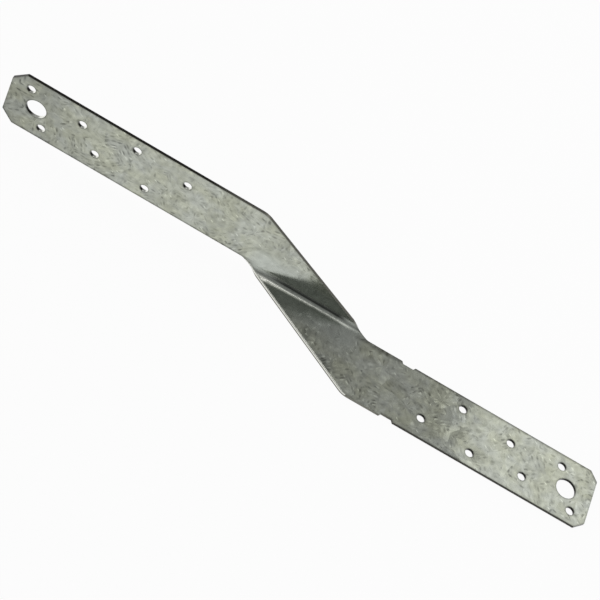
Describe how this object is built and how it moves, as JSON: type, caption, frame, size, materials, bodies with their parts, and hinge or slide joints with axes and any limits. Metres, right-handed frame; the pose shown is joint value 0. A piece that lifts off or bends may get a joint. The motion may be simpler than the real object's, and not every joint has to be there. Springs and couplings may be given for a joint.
{
  "type": "twist strap",
  "caption": "Galvanised steel strap with a dogleg at mid-length, folded square along its length, so that its legs nail to timber faces at right angles.",
  "frame": {"origin": "mid-length, on the corner line where the planes of the two nailing faces meet", "axes": "+X along the fold from the upper leg's end to the lower leg's end; the lower leg lies on z = 0 and reaches towards -Y; the upper leg stands on y = 0 and rises along +Z"},
  "size_m": [0.3059, 0.0362, 0.0362],
  "materials": {
    "galvanised_steel": "hot-dip galvanised with a visible spangle, sheared edges darker"
  },
  "bodies": {
    "root": {"twist_strap": "galvanised_steel"}
  },
  "joints": []
}
